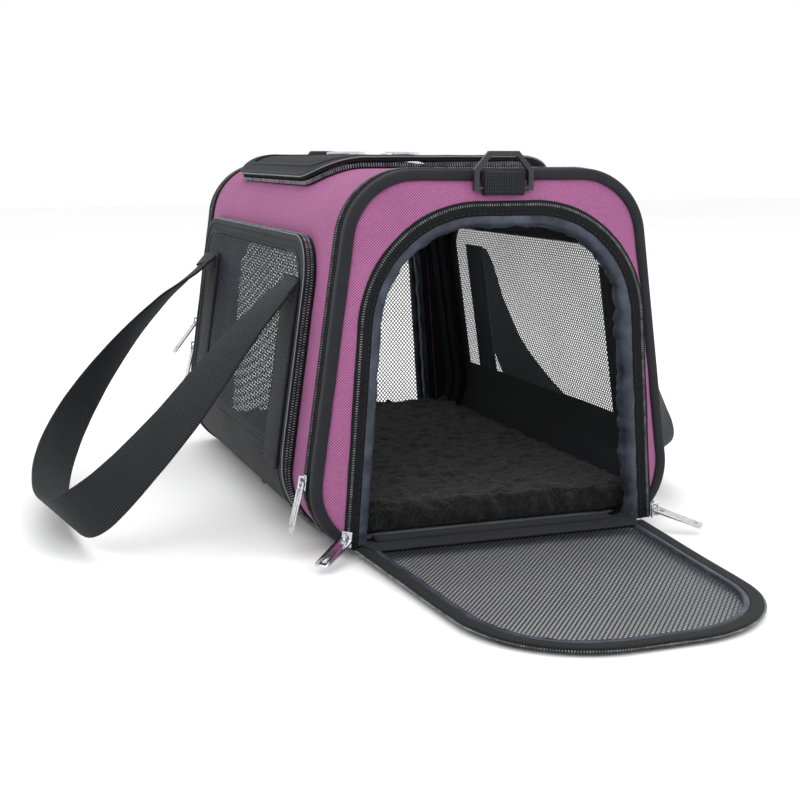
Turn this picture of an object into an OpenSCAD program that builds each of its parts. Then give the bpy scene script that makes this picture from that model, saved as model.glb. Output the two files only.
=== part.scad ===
// Soft-sided pet carrier with two zipped end doors, a zipped top flap,
// mesh sides, webbing handles and a fleece-covered floor.
// Origin: centre of the base, on the ground. X is the width, Y the length.

/* [Body] */
// Width of the body at the base
base_w = 290; // [260:5:340]
// Width of the body at the top, before the corners are rounded
top_w = 215; // [195:5:240]
// Height of the body
body_h = 265; // [240:5:310]
// Length between the outer faces of the end bindings
body_len = 426; // [400:5:520]
// Radius of the two bottom corners
base_r = 48; // [30:1:60]
// Radius of the two top corners
top_r = 51; // [40:1:60]
// Thickness of the padded wall fabric
wall = 4.5; // [3:0.5:6]
// Height up to which the base fabric is black
base_fabric_h = 14; // [8:1:24]

/* [End frames] */
// Width of the binding round each end, seen from the front
binding_w = 8; // [8:0.5:12]
// Depth of the binding along the body
binding_d = 10; // [8:0.5:14]
// Side of the spring steel strip inside the binding
wire = 2.5; // [2:0.1:3]
// Depth of the rim zipper and its tape
rim_zip_d = 10; // [8:0.5:14]

/* [End doors] */
// Half width of a door opening at its sill
arch_half_base = 116; // [90:1:118]
// Half width of a door opening at its top
arch_half_top = 99; // [88:1:102]
// Height of the top of a door opening
arch_top = 239; // [200:1:240]
// Radius of the top corners of a door opening
arch_r = 84; // [60:1:86]
// How far the openings are sewn off centre
arch_shift = 4; // [0:0.5:5]
// Thickness of the end panels
panel_t = 4; // [3:0.5:6]
// How far an opening's rim stands out from its end panel
lip_d = 6; // [4:0.5:8]
// Width of the rim round an opening
lip_w = 9; // [7:0.5:10]
// Width of the loose satin facing inside an opening
facing_w = 13; // [8:1:18]
// Width of the border round a door's mesh
border_w = 12; // [8:1:18]

/* [Mesh sides] */
// Front end of a side panel, measured back from the middle
side_front = -160; // [-170:1:-120]
// Rear end of a side panel
side_rear = 185; // [120:1:188]
// Height of the top of a side panel
side_top = 216; // [190:1:220]
// Radius of a side panel's top corners
side_r = 34; // [15:1:45]
// How far a side panel stands out from the wall
side_raise = 6; // [5:0.5:8]

/* [Top flap] */
// Half width of the top flap
flap_half = 97; // [80:1:100]
// Front end of the top flap
flap_front = -110; // [-140:1:-90]
// Rear end of the top flap
flap_rear = 165; // [120:1:170]
// Radius of the flap's corners
flap_r = 45; // [20:1:60]
// How far the flap stands out from the wall
flap_raise = 8.5; // [8:0.5:10]

/* [Handles] */
// Width of the webbing
web_w = 38; // [25:1:40]
// Thickness of the webbing
web_t = 2.2; // [1.8:0.1:2.6]
// Height at which the handles leave the side panels
handle_z = 186; // [175:1:190]
// Centre of the front anchor strap
anchor_front = -136; // [-140:1:-110]
// Centre of the rear anchor strap
anchor_rear = 132; // [100:1:140]

/* [Floor] */
// Thickness of the stiff base board
board_t = 3; // [2:0.5:5]
// Thickness of the fleece pad
pad_t = 25; // [15:1:30]

/* [Zip pulls and rings] */
// Length of a pull tab beyond its hinge bar
pull_len = 36; // [28:1:40]
// Width of a pull tab
pull_w = 11; // [9:0.5:12]
// Outside width of a D-ring
ring_w = 44; // [38:1:50]
// Height of a D-ring above its bar
ring_h = 25; // [20:1:28]
// Thickness of a D-ring's section
ring_t = 3.6; // [3:0.1:4]

/* [Hidden] */
$fn = 96;
EPS = 1;            // run-past of a cut
GAP = 0.3;          // clearance between pieces that do not touch
BIG = 400;          // larger than any half size
// cross-section
lean = atan((base_w - top_w) / 2 / body_h);
side_n = [cos(lean), sin(lean)];
base_c = [base_w / 2 - base_r * (1 + sin(lean)) / cos(lean), base_r];
top_c = [base_w / 2 - (top_r + (body_h - top_r) * sin(lean)) / cos(lean), body_h - top_r];
half_len = body_len / 2;
fabric_in = 1;                                // the wall lies this far inside the bindings
wall_in = fabric_in + wall;
shell_half = half_len - binding_d - rim_zip_d;
// distances from the cross-section for the frame strip's channel
wire_out = (binding_w - wire) / 2;
wire_in = wire_out + wire;
wire_y = half_len - (binding_d - wire) / 2;
zip_in = 4;                                   // the rim zipper's tape reaches this far in
chain_w = 3;
// end openings
panel_in = 4;                                 // the end panel lies this far behind the binding's face
panel_y = half_len - panel_in;
lip_y = panel_y + lip_d;
tape_t = 0.8;
chain_t = 2.6;
sill_z = binding_w;
sill_t = 2;
arch_lean = atan((arch_half_base - arch_half_top) / (arch_top - sill_z));
arch_c = [arch_half_base - (arch_r + (arch_top - arch_r - sill_z) * sin(arch_lean)) / cos(arch_lean),
          arch_top - arch_r];
arch_chain_in = 0.5;
arch_chain_out = 3.5;
strip_t = 3.5;
hinge_out = 2.5;                              // the hinge line stands this far out from the rim
hinge_y = lip_y + hinge_out;
hinge_z = sill_z;
door_gap = 0.6;                               // door starts this far from its hinge line
door_back = 0.4;
door_t = 3.6;
door_mesh_t = 1;
droop = 0.85;                                 // the open door slopes down to the ground
// side panels
side_edge = 9;
gusset_t = 2.5;
mesh_t = 1;
side_floor = 6;
window_in = 14;
anchor_d = side_raise + GAP;
anchor_bottom = base_c[1] + (base_r + anchor_d + web_t) * sin(lean);
// top flap
flap_edge = 9;
flap_low = 3.2;                               // the gusset parts between these two heights
flap_high = 4;
flap_zmin = top_c[1];
// handles: hinge line just outside the anchor straps
function wall_x(d, z) = (base_w / 2 * cos(lean) + d - z * sin(lean)) / cos(lean);
handle_d = anchor_d + web_t + web_t / 2 + 2 * GAP;
handle_x = wall_x(handle_d, handle_z);
root_gap = 0.2;
// routes of the two hanging loops: along the body, and down the loop
left_route = [[-136, 0], [-136, 8], [-136, 16], [-138, 48], [-148, 84], [-164, 131], [-167, 178],
              [-158, 210], [-126, 231], [-60, 236], [20, 222], [84, 190], [128, 146], [152, 98],
              [154, 56], [142, 32], [132, 16], [132, 8], [132, 0]];
left_drop = 45;                               // tilt of the loop from plumb
right_route = [[-136, 0], [-136, 8], [-136, 16], [-142, 50], [-146, 100], [-138, 142], [-108, 168],
               [-50, 178], [10, 178], [66, 168], [112, 146], [138, 108], [142, 56], [132, 16],
               [132, 8], [132, 0]];
right_drop = 21;
ring_steps = 5;
// places of the sliders
corner_out = 2.8;
corner_fwd = 2.1;
corner_turn = 45;
door_slider_z = 15;
rim_above_corner = 4;
front_rim_z = base_r + rim_above_corner;
rear_rim_z = [94, 117];
top_slider_x = [28, 50];
// rest angles of the pulls, from the chain's direction
door_pull_angle = 108;
rim_pull_angle = 174;
upper_pull_angle = 150;
top_pull_angle = 5;
// slider and pull
slide_l = 11;
slide_w = 8;
slide_t = 1.5;
bridge_w = 2;
bridge_half = 4.5;
bridge_leg = 1.6;
bridge_top = 5.3;
bridge_gap = 2.6;
pull_t = 1.4;
pull_axis = 2.8;
eye_l = 6;
eye_w = 3.4;
pull_hole_r = 1.6;
// D-rings
bar_r = ring_t / 2;
tab_half = 15;
tab_y = half_len + GAP;
tab_t = 5.7;
tab_z0 = arch_top + lip_w + 0.5;              // just above the rim of the doorway
tab_z1 = body_h - 3;                          // and just under the top of the bag
bar_up = 3.5;                                 // height of the bar in its tab
bar_z = tab_z0 + bar_up;
bar_y = tab_y + tab_t / 2;
bar_clearance = 0.2;
bore_r = bar_r + bar_clearance;

// ---- outlines ----------------------------------------------------------

// the body's cross-section, grown by d
module section(d) {
    rb = base_r + d;
    rt = top_r + d;
    right = [[base_c[0], base_c[1] - rb], base_c + rb * side_n,
             top_c + rt * side_n, [top_c[0], top_c[1] + rt]];
    polygon(concat(right, [for (i = [3:-1:0]) [-right[i][0], right[i][1]]]));
    for (s = [-1, 1]) {
        translate([s * base_c[0], base_c[1]]) circle(rb);
        translate([s * top_c[0], top_c[1]]) circle(rt);
    }
}

// a door opening, grown by d, standing on height z0
module arch(d, z0) {
    r = arch_r + d;
    foot = arch_half_base + (d - (z0 - sill_z) * sin(arch_lean)) / cos(arch_lean);
    right = [[foot, z0], arch_c + r * [cos(arch_lean), sin(arch_lean)], [arch_c[0], arch_c[1] + r]];
    translate([arch_shift, 0]) {
        polygon(concat(right, [for (i = [2:-1:0]) [-right[i][0], right[i][1]]]));
        for (s = [-1, 1]) translate([s * arch_c[0], arch_c[1]]) circle(r);
    }
}

// a rectangle with rounded corners, from a to b
module rounded(a, b, r) {
    translate([a[0] + r, a[1]]) square([b[0] - a[0] - 2 * r, b[1] - a[1]]);
    translate([a[0], a[1] + r]) square([b[0] - a[0], b[1] - a[1] - 2 * r]);
    for (x = [a[0] + r, b[0] - r], y = [a[1] + r, b[1] - r]) translate([x, y]) circle(r);
}

// ---- solids from outlines ----------------------------------------------

// an outline of the XZ plane, filled from y0 to y1
module along_y(y0, y1) {
    translate([0, y1, 0]) rotate([90, 0, 0]) linear_extrude(y1 - y0) children();
}

module slab(d, y0, y1) {
    along_y(y0, y1) section(d);
}

// the layer of the body's wall between two distances from its cross-section
module layer(d_out, d_in, y0, y1) {
    difference() {
        slab(d_out, y0, y1);
        slab(d_in, y0 - EPS, y1 + EPS);
    }
}

// the same layer at the two ends is a mirror image
module rear_of() {
    mirror([0, 1, 0]) children();
}

// a front face ring between two sizes of the opening, proud of y_in by depth
module arch_ring(d_out, d_in, y_in, depth, z0) {
    difference() {
        along_y(-y_in - depth, -y_in) arch(d_out, z0);
        along_y(-y_in - depth - EPS, -y_in + EPS) arch(d_in, z0 - EPS);
    }
}

// the right side's panel outline, shrunk by d, as a prism across the body
module side_prism(d) {
    rotate([90, 0, 90]) linear_extrude(BIG)
        rounded([side_front + d, -BIG], [side_rear - d, side_top - d], side_r - d);
}

module flap_prism(d) {
    translate([0, 0, flap_zmin]) linear_extrude(BIG)
        rounded([-flap_half + d, flap_front + d], [flap_half - d, flap_rear - d], flap_r - d);
}

module above(z) {
    translate([-BIG, -BIG, z]) cube([2 * BIG, 2 * BIG, BIG]);
}

// a layer on the right side, inside one outline and outside another
module side_layer(d_out, d_in, edge_out, edge_in) {
    difference() {
        intersection() {
            layer(d_out, d_in, side_front - side_edge, side_rear + side_edge);
            side_prism(edge_out);
            above(side_floor);
        }
        if (edge_in != undef) side_prism(edge_in);
    }
}

module flap_layer(d_out, d_in, edge_out, edge_in) {
    difference() {
        intersection() {
            layer(d_out, d_in, flap_front - flap_edge, flap_rear + flap_edge);
            flap_prism(edge_out);
        }
        if (edge_in != undef) flap_prism(edge_in);
    }
}

module left_of() {
    mirror([1, 0, 0]) children();
}

// ---- body --------------------------------------------------------------

module body_shell() {
    color("mediumorchid") difference() {
        intersection() {
            layer(-fabric_in, -wall_in, -shell_half, shell_half);
            above(base_fabric_h);
        }
        side_prism(window_in);
        left_of() side_prism(window_in);
        flap_prism(window_in);
    }
}

// its flat underside reaches the ground
module base_panel() {
    color("dimgray") {
        difference() {
            layer(-fabric_in, -wall_in, -shell_half, shell_half);
            above(base_fabric_h);
        }
        translate([-base_c[0], -shell_half, 0]) cube([2 * base_c[0], 2 * shell_half, fabric_in]);
    }
}

// stiff board that lies on the base fabric
module base_board() {
    color("gray") difference() {
        slab(-wall_in - GAP, -shell_half, shell_half);
        above(wall_in + GAP + board_t);
    }
}

module fleece_pad() {
    color("black") difference() {
        slab(-binding_w - GAP, -shell_half - binding_d, shell_half + binding_d);
        above(wall_in + 2 * GAP + board_t + pad_t);
        translate([-BIG, -BIG, wall_in + 2 * GAP + board_t - BIG]) cube([2 * BIG, 2 * BIG, BIG]);
    }
}

// ---- ends --------------------------------------------------------------

// keeps a piece inside the body's outline and out of the front binding
module beside_binding() {
    difference() {
        intersection() {
            children();
            slab(0, -hinge_y, 0);
        }
        layer(EPS, -binding_w, -half_len, -half_len + binding_d);
    }
}

module front_panel() {
    color("orchid") beside_binding() {
        difference() {
            slab(-binding_w, -panel_y, -panel_y + panel_t);
            along_y(-panel_y - EPS, -panel_y + panel_t + EPS) arch(0, 0);
        }
        arch_ring(lip_w, 0, panel_y, lip_d, sill_z);
    }
}

module front_binding() {
    color("dimgray") difference() {
        layer(0, -binding_w, -half_len, -half_len + binding_d);
        layer(-wire_out + GAP, -wire_in - GAP, -wire_y - GAP, -wire_y + wire + GAP);
    }
}

// one spring strip inside each end binding
module frame_strips() {
    color("silver") for (s = [0, 1]) mirror([0, s, 0])
        layer(-wire_out, -wire_in, -wire_y, -wire_y + wire);
}

module front_rim_zipper() {
    y = -half_len + binding_d;
    color("black") {
        layer(-fabric_in, -zip_in, y, y + rim_zip_d);
        layer(0, -fabric_in, y + rim_zip_d / 2 - chain_w / 2, y + rim_zip_d / 2 + chain_w / 2);
    }
}

module front_arch_tape() {
    color("black") beside_binding() arch_ring(lip_w - EPS, 0, lip_y, tape_t, sill_z);
}

module front_arch_chain() {
    color("slategray") arch_ring(arch_chain_out, arch_chain_in, lip_y + tape_t, chain_t, sill_z + EPS);
}

module front_facing() {
    color("darkslategray") beside_binding()
        arch_ring(0, -facing_w, lip_y - lip_d / 2, tape_t, sill_z + sill_t);
}

// binding across each sill, and the strip that the door hangs on
module door_sills() {
    color("black") for (s = [0, 1]) mirror([0, s, 0]) {
        intersection() {
            translate([-base_c[0], -lip_y, sill_z])
                cube([2 * base_c[0], lip_y - half_len + binding_d, sill_t]);
            along_y(-lip_y - EPS, -half_len + binding_d + EPS) arch(0, 0);
        }
        translate([-base_c[0], GAP - hinge_y, sill_z - strip_t - GAP])
            cube([2 * base_c[0], hinge_y - half_len - GAP, strip_t]);
    }
}

// ---- doors, modelled closed --------------------------------------------

module closed_door_border() {
    y = hinge_y + door_back;
    z = hinge_z + door_gap;
    difference() {
        along_y(-y - door_t, -y) arch(-arch_chain_out - GAP, z);
        along_y(-y - door_t - EPS, -y + EPS) arch(-arch_chain_out - border_w, z + border_w);
    }
}

module closed_door_mesh() {
    y = hinge_y + door_back + (door_t - door_mesh_t) / 2;
    along_y(-y - door_mesh_t, -y) arch(-arch_chain_out - border_w, hinge_z + door_gap + border_w);
}

module closed_door_chain() {
    arch_ring(-arch_chain_in, -arch_chain_out - GAP, hinge_y + door_back + GAP, chain_t, hinge_z + door_gap);
}

// turns a closed front door down onto the ground
module opened() {
    translate([0, -hinge_y, hinge_z]) rotate([90 + droop, 0, 0]) translate([0, hinge_y, -hinge_z]) children();
}

// ---- side and top panels -----------------------------------------------

module right_gusset() {
    color("black") side_layer(side_raise / 2, -fabric_in, 0, gusset_t);
}

module right_edge() {
    color("dimgray") side_layer(side_raise, side_raise / 2, 0, side_edge);
}

module right_mesh() {
    color("gray") side_layer(side_raise - GAP, side_raise - GAP - mesh_t, side_edge);
}

module right_chain() {
    color("silver") side_layer(side_raise / 2 + EPS, EPS, -gusset_t, 0);
}

module top_gusset() {
    color("black") flap_layer(flap_low, -fabric_in, 0, gusset_t);
}

// the chain runs round the front, left and rear edges
module top_chain() {
    color("silver") difference() {
        flap_layer(flap_low, EPS, -gusset_t, 0);
        translate([flap_half - flap_r, -BIG, 0]) cube([BIG, 2 * BIG, BIG]);
    }
}

module top_flap_gusset() {
    color("black") flap_layer(flap_raise - gusset_t, flap_high, 0, gusset_t);
}

module top_flap_edge() {
    color("dimgray") flap_layer(flap_raise, flap_raise - gusset_t, 0, flap_edge);
}

module top_flap_mesh() {
    color("gray") flap_layer(flap_raise - GAP, flap_raise - GAP - mesh_t, flap_edge);
}

// ---- handles -----------------------------------------------------------

module handle_anchors() {
    color("darkslategray") for (s = [0, 1], y = [anchor_front, anchor_rear]) mirror([s, 0, 0])
        intersection() {
            layer(anchor_d + web_t, anchor_d, y - web_w / 2, y + web_w / 2);
            translate([0, -BIG, anchor_bottom]) cube([BIG, 2 * BIG, handle_z - root_gap - anchor_bottom]);
        }
}

// a smooth curve through the points of a route
function bend(a, b, c, d, t) =
    0.5 * (2 * b + (c - a) * t + (2 * a - 5 * b + 4 * c - d) * t * t
           + (3 * b - a - 3 * c + d) * t * t * t);
function smooth_route(p) = let (n = len(p) - 1) concat(
    [for (i = [0:n - 1], k = [0:ring_steps - 1])
        bend(p[max(i - 1, 0)], p[i], p[i + 1], p[min(i + 2, n)], k / ring_steps)],
    [p[n]]);
function unit(v) = v / norm(v);

// a flat strap along a route that lies in a plane tilted from plumb; the strap turns a
// quarter turn on the way down, so it is flat at its ends and on edge in the bend
module strap(route, tilt) {
    path = smooth_route(route);
    n = len(path) - 1;
    down = [sin(tilt), 0, -cos(tilt)];
    out = [cos(tilt), 0, sin(tilt)];
    start = [handle_x, 0, handle_z];
    points = [for (i = [0:n])
        let (p = path[i],
             before = path[max(i - 1, 0)],
             after = path[min(i + 1, n)],
             along = unit([0, after[0] - before[0], 0] + down * (after[1] - before[1])),
             across = unit(cross(out, along)),
             turn = 90 * cos(180 * i / n),
             wide = unit([0, sin(turn), 0] + out * cos(turn)),
             side = unit(wide - along * (wide * along)),
             thick = cross(along, side),
             centre = start + [0, p[0], 0] + down * (root_gap + p[1]))
        each [centre + side * web_w / 2 + thick * web_t / 2, centre - side * web_w / 2 + thick * web_t / 2,
              centre - side * web_w / 2 - thick * web_t / 2, centre + side * web_w / 2 - thick * web_t / 2]];
    faces = concat([[0, 1, 2, 3], [for (j = [3:-1:0]) 4 * n + j]],
        [for (i = [0:n - 1], j = [0:3])
            let (a = 4 * i + j, b = 4 * i + (j + 1) % 4) [a, a + 4, b + 4, b]]);
    polyhedron(points, faces, convexity = 8);
}

module right_handle() {
    color("darkslategray") strap(right_route, right_drop);
}

module left_handle() {
    color("darkslategray") left_of() strap(left_route, left_drop);
}

// ---- D-rings -----------------------------------------------------------

module ring_tab() {
    difference() {
        translate([-tab_half, -tab_y - tab_t, tab_z0]) cube([2 * tab_half, tab_t, tab_z1 - tab_z0]);
        translate([-tab_half - EPS, -bar_y, bar_z]) rotate([0, 90, 0])
            cylinder(r = bore_r, h = 2 * (tab_half + EPS));
    }
}

module ring_tabs() {
    color("black") {
        ring_tab();
        rear_of() ring_tab();
    }
}

// a flat-topped loop on a round bar
module front_d_ring() {
    half = ring_w / 2;
    color("dimgray") {
        along_y(-bar_y - ring_t / 2, -bar_y + ring_t / 2) translate([0, bar_z]) difference() {
            polygon([[-half, -bar_r], [half, -bar_r], [half, ring_h / 2], [half / 2, ring_h],
                     [-half / 2, ring_h], [-half, ring_h / 2]]);
            polygon([[ring_t - half, -bar_r - EPS], [half - ring_t, -bar_r - EPS],
                     [half - ring_t, ring_h / 2 - ring_t / 3], [half / 2 - ring_t / 3, ring_h - ring_t],
                     [ring_t / 3 - half / 2, ring_h - ring_t], [ring_t - half, ring_h / 2 - ring_t / 3]]);
        }
        translate([-half + ring_t / 2, -bar_y, bar_z]) rotate([0, 90, 0])
            cylinder(r = bar_r, h = ring_w - ring_t);
    }
}

// ---- zip sliders and pulls ---------------------------------------------
// Each is modelled lying on XY: the chain runs along X, and Z points out of the bag.

module slider() {
    color("silver") {
        translate([-slide_l / 2, -slide_w / 2, 0]) cube([slide_l, slide_w, slide_t]);
        difference() {
            translate([-bridge_half, -bridge_w / 2, 0]) cube([2 * bridge_half, bridge_w, bridge_top]);
            translate([bridge_leg - bridge_half, -bridge_w, slide_t])
                cube([2 * (bridge_half - bridge_leg), 2 * bridge_w, bridge_gap]);
        }
    }
}

// the tab, with its hinge bar on the origin
module pull() {
    color("gainsboro") translate([0, 0, -pull_t / 2]) linear_extrude(pull_t) difference() {
        union() {
            translate([-pull_t / 2, -pull_w / 2]) square([pull_len - pull_w / 4 + pull_t / 2, pull_w]);
            for (s = [-1, 1]) translate([pull_len - pull_w / 4, s * pull_w / 4]) circle(pull_w / 4);
            translate([pull_len - pull_w / 4, -pull_w / 4]) square([pull_w / 4, pull_w / 2]);
        }
        translate([pull_t / 2, -eye_w / 2]) square([eye_l, eye_w]);
        translate([pull_len - pull_w / 2, 0]) circle(pull_hole_r);
    }
}

// where each slider sits: place, then the turns that carry the flat slider there
// with the chain upright and the face towards the front
module upright() {
    rotate([90, 0, 0]) rotate([0, 0, 90]) children();
}

// at the foot of the door opening, turned out over its corner
module at_door(side) {
    translate([arch_shift + side * (arch_half_base + corner_out), -hinge_y - corner_fwd, door_slider_z])
        rotate([0, -side * arch_lean, 0]) rotate([0, 0, side * corner_turn]) upright() children();
}

// on the left wall, over the front rim zipper
module at_rim(z) {
    translate([-wall_x(GAP, z), -half_len + binding_d + rim_zip_d / 2, z])
        rotate([0, lean, 0]) rotate([0, 0, -90]) upright() children();
}

// on the rear edge of the top flap, with the pull towards the left or the right
module at_top(x, side) {
    translate([x, flap_rear + gusset_t + GAP, body_h + pull_w / 2 + 2 * GAP])
        rotate([side * -90, 0, 90 - side * 90]) children();
}

// hinges a pull at its rest angle from the chain's direction
module hung(angle) {
    translate([0, 0, pull_axis]) rotate([0, -angle, 0]) pull();
}

body_shell();
base_panel();
base_board();
fleece_pad();
front_panel();
rear_of() front_panel();  // rear_panel
front_binding();
rear_of() front_binding();  // rear_binding
frame_strips();
front_rim_zipper();
rear_of() front_rim_zipper();  // rear_rim_zipper
front_arch_tape();
rear_of() front_arch_tape();  // rear_arch_tape
front_arch_chain();
rear_of() front_arch_chain();  // rear_arch_chain
front_facing();
rear_of() front_facing();  // rear_facing
door_sills();
left_of() right_gusset();  // left_gusset
left_of() right_mesh();  // left_mesh
left_of() right_edge();  // left_edge
left_of() right_chain();  // left_chain
right_gusset();
right_mesh();
right_edge();
right_chain();
top_gusset();
top_chain();
handle_anchors();
ring_tabs();
color("gray") opened() closed_door_mesh();  // front_door_mesh
color("dimgray") opened() closed_door_border();  // front_door_border
color("silver") opened() closed_door_chain();  // front_door_chain
color("gray") rear_of() closed_door_mesh();  // rear_door_mesh
color("dimgray") rear_of() closed_door_border();  // rear_door_border
color("silver") rear_of() closed_door_chain();  // rear_door_chain
top_flap_mesh();
top_flap_edge();
top_flap_gusset();
left_handle();
right_handle();
front_d_ring();
rear_of() front_d_ring();  // rear_d_ring
at_door(-1) slider();  // front_left_slider
at_door(-1) hung(door_pull_angle);  // front_left_pull
at_door(1) slider();  // front_right_slider
at_door(1) hung(door_pull_angle);  // front_right_pull
rear_of() at_door(1) slider();  // rear_door_slider
rear_of() at_door(1) hung(door_pull_angle);  // rear_door_pull
at_rim(front_rim_z) slider();  // front_rim_slider
at_rim(front_rim_z) hung(rim_pull_angle);  // front_rim_pull
rear_of() at_rim(rear_rim_z[1]) slider();  // rear_rim_upper_slider
rear_of() at_rim(rear_rim_z[1]) hung(upper_pull_angle);  // rear_rim_upper_pull
rear_of() at_rim(rear_rim_z[0]) slider();  // rear_rim_lower_slider
rear_of() at_rim(rear_rim_z[0]) hung(rim_pull_angle);  // rear_rim_lower_pull
at_top(top_slider_x[0], -1) slider();  // top_left_slider
at_top(top_slider_x[0], -1) hung(top_pull_angle);  // top_left_pull
at_top(top_slider_x[1], 1) slider();  // top_right_slider
at_top(top_slider_x[1], 1) hung(top_pull_angle);  // top_right_pull
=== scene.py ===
import math

import bpy
import numpy as np
from mathutils import Matrix, Vector, noise


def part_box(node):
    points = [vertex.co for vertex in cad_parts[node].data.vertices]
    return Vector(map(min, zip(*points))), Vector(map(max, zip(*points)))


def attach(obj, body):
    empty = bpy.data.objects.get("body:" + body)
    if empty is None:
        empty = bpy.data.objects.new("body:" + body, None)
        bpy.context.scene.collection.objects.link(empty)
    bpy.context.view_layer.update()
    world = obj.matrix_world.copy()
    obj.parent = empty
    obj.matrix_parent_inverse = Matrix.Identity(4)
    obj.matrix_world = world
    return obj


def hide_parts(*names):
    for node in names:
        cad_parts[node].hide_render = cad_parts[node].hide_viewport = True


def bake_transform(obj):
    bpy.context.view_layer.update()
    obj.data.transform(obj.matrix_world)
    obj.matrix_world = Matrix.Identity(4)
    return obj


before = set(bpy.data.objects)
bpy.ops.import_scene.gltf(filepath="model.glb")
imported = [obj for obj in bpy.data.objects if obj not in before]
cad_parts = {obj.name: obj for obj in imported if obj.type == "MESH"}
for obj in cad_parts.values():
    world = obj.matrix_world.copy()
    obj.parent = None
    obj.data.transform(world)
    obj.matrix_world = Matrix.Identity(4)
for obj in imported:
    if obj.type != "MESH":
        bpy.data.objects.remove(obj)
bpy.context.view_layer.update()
bpy.ops.object.select_all(action="DESELECT")

mm = 0.001                       # the helpers below work in millimetres


# ---- sizes of the bag, from the frame ----

def lowOf(nodeName):
    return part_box(nodeName)[0] / mm


def highOf(nodeName):
    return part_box(nodeName)[1] / mm


bag = {
    "baseWidth": 290, "topWidth": 215,          # at the ground, and at the top before rounding
    "baseRadius": 48, "topRadius": 51,          # corners of the cross-section
    "height": round(highOf("rear_binding").z),
    "bindingWidth": 8, "bindingDepth": 10, "rimZipDepth": 10,
    "wall": 4.5, "blackUpTo": 14,
}


def unit(angle):
    return Vector((math.cos(angle), math.sin(angle)))


lean = math.atan((bag["baseWidth"] - bag["topWidth"]) / 2 / bag["height"])
sideNormal = unit(lean)
baseCentre = Vector((bag["baseWidth"] / 2 - bag["baseRadius"] * (1 + math.sin(lean)) / math.cos(lean),
                     bag["baseRadius"]))
topCentre = Vector((bag["baseWidth"] / 2 - (bag["topRadius"] + (bag["height"] - bag["topRadius"])
                    * math.sin(lean)) / math.cos(lean), bag["height"] - bag["topRadius"]))
halfLength = -round(lowOf("front_binding").y)
shellHalf = halfLength - bag["bindingDepth"] - bag["rimZipDepth"]

doorway = {
    "halfBase": 116, "halfTop": 99, "top": 239, "radius": 84, "shift": 4,
    "sill": 8, "lip": 215, "hinge": 217.5, "facingWidth": 17,
    "doorBack": 0.4, "doorThick": 3.6, "border": 12, "droop": 0.85,
}
archLean = math.atan((doorway["halfBase"] - doorway["halfTop"]) / (doorway["top"] - doorway["sill"]))
archCentre = Vector((doorway["halfBase"] - (doorway["radius"] + (doorway["top"] - doorway["radius"]
                     - doorway["sill"]) * math.sin(archLean)) / math.cos(archLean),
                     doorway["top"] - doorway["radius"]))

sidePanel = {"front": -160, "rear": 185, "top": 216, "radius": 34, "floor": 6, "edge": 9,
             "raiseFront": 8.6, "raiseRear": 5.4, "windowIn": 6, "cut": (70, 200)}
topFlap = {"half": 97, "front": -110, "rear": 165, "radius": 45, "edge": 9, "raise": 8.5, "windowIn": 6,
           "cut": (225, 300)}


# ---- curves of the bag ----

sideStart = baseCentre + sideNormal * bag["baseRadius"]
sideEnd = topCentre + sideNormal * bag["topRadius"]
sideRun = (sideEnd - sideStart).length
baseArc = (math.pi / 2 + lean) * bag["baseRadius"]
topArc = (math.pi / 2 - lean) * bag["topRadius"]
girthHalf = baseCentre.x + baseArc + sideRun + topArc + topCentre.x


def wallAt(s):
    # a point of the cross-section and its outward normal, s from the middle of the base, right is positive
    side = 1 if s >= 0 else -1
    s = abs(s)
    if s < baseCentre.x:
        p, n = Vector((s, 0)), Vector((0, -1))
    elif s < baseCentre.x + baseArc:
        a = (s - baseCentre.x) / bag["baseRadius"] - math.pi / 2
        n = unit(a)
        p = baseCentre + n * bag["baseRadius"]
    elif s < baseCentre.x + baseArc + sideRun:
        n = sideNormal.copy()
        p = sideStart.lerp(sideEnd, (s - baseCentre.x - baseArc) / sideRun)
    elif s < girthHalf - topCentre.x:
        a = lean + (s - baseCentre.x - baseArc - sideRun) / bag["topRadius"]
        n = unit(a)
        p = topCentre + n * bag["topRadius"]
    else:
        p, n = Vector((girthHalf - s, bag["height"])), Vector((0, 1))
    return Vector((p.x * side, p.y)), Vector((n.x * side, n.y))


def onWall(s, y, d):
    p, n = wallAt(s)
    return Vector((p.x + n.x * d, y, p.y + n.y * d))


girthTable = [(s, wallAt(s)[0]) for s in np.linspace(0, girthHalf, 1500)]
heights = np.array([p.y for s, p in girthTable])
widths = np.array([p.x for s, p in girthTable])
lengths = np.array([s for s, p in girthTable])
widest = int(widths.argmax())


def sAtHeight(z):
    return float(np.interp(z, heights, lengths))


def sAtWidth(x):
    # over the top: x runs from the left to the right
    s = float(np.interp(-abs(x), -widths[widest:], lengths[widest:]))
    return s if x >= 0 else -s


def archAt(t, low=None):
    # a doorway's outline from its left foot (0) over the top to its right foot (1)
    radius = doorway["radius"]
    low = doorway["sill"] if low is None else low
    normal = unit(archLean)
    hip = archCentre + normal * radius
    foot = hip + (hip.y - low) / math.cos(archLean) * Vector((math.sin(archLean), -math.cos(archLean)))
    straight = (foot - hip).length
    arc = (math.pi / 2 - archLean) * radius
    half = straight + arc + archCentre.x
    side = -1 if t < 0.5 else 1
    run = half * (2 * t if t < 0.5 else 2 - 2 * t)
    if run < straight:
        p, n = foot.lerp(hip, run / straight), normal
    elif run < straight + arc:
        a = archLean + (run - straight) / radius
        n = unit(a)
        p = archCentre + n * radius
    else:
        p, n = Vector((half - run, archCentre.y + radius)), Vector((0, 1))
    return Vector((side * p.x + doorway["shift"], p.y)), Vector((side * n.x, n.y)), 2 * half


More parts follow.
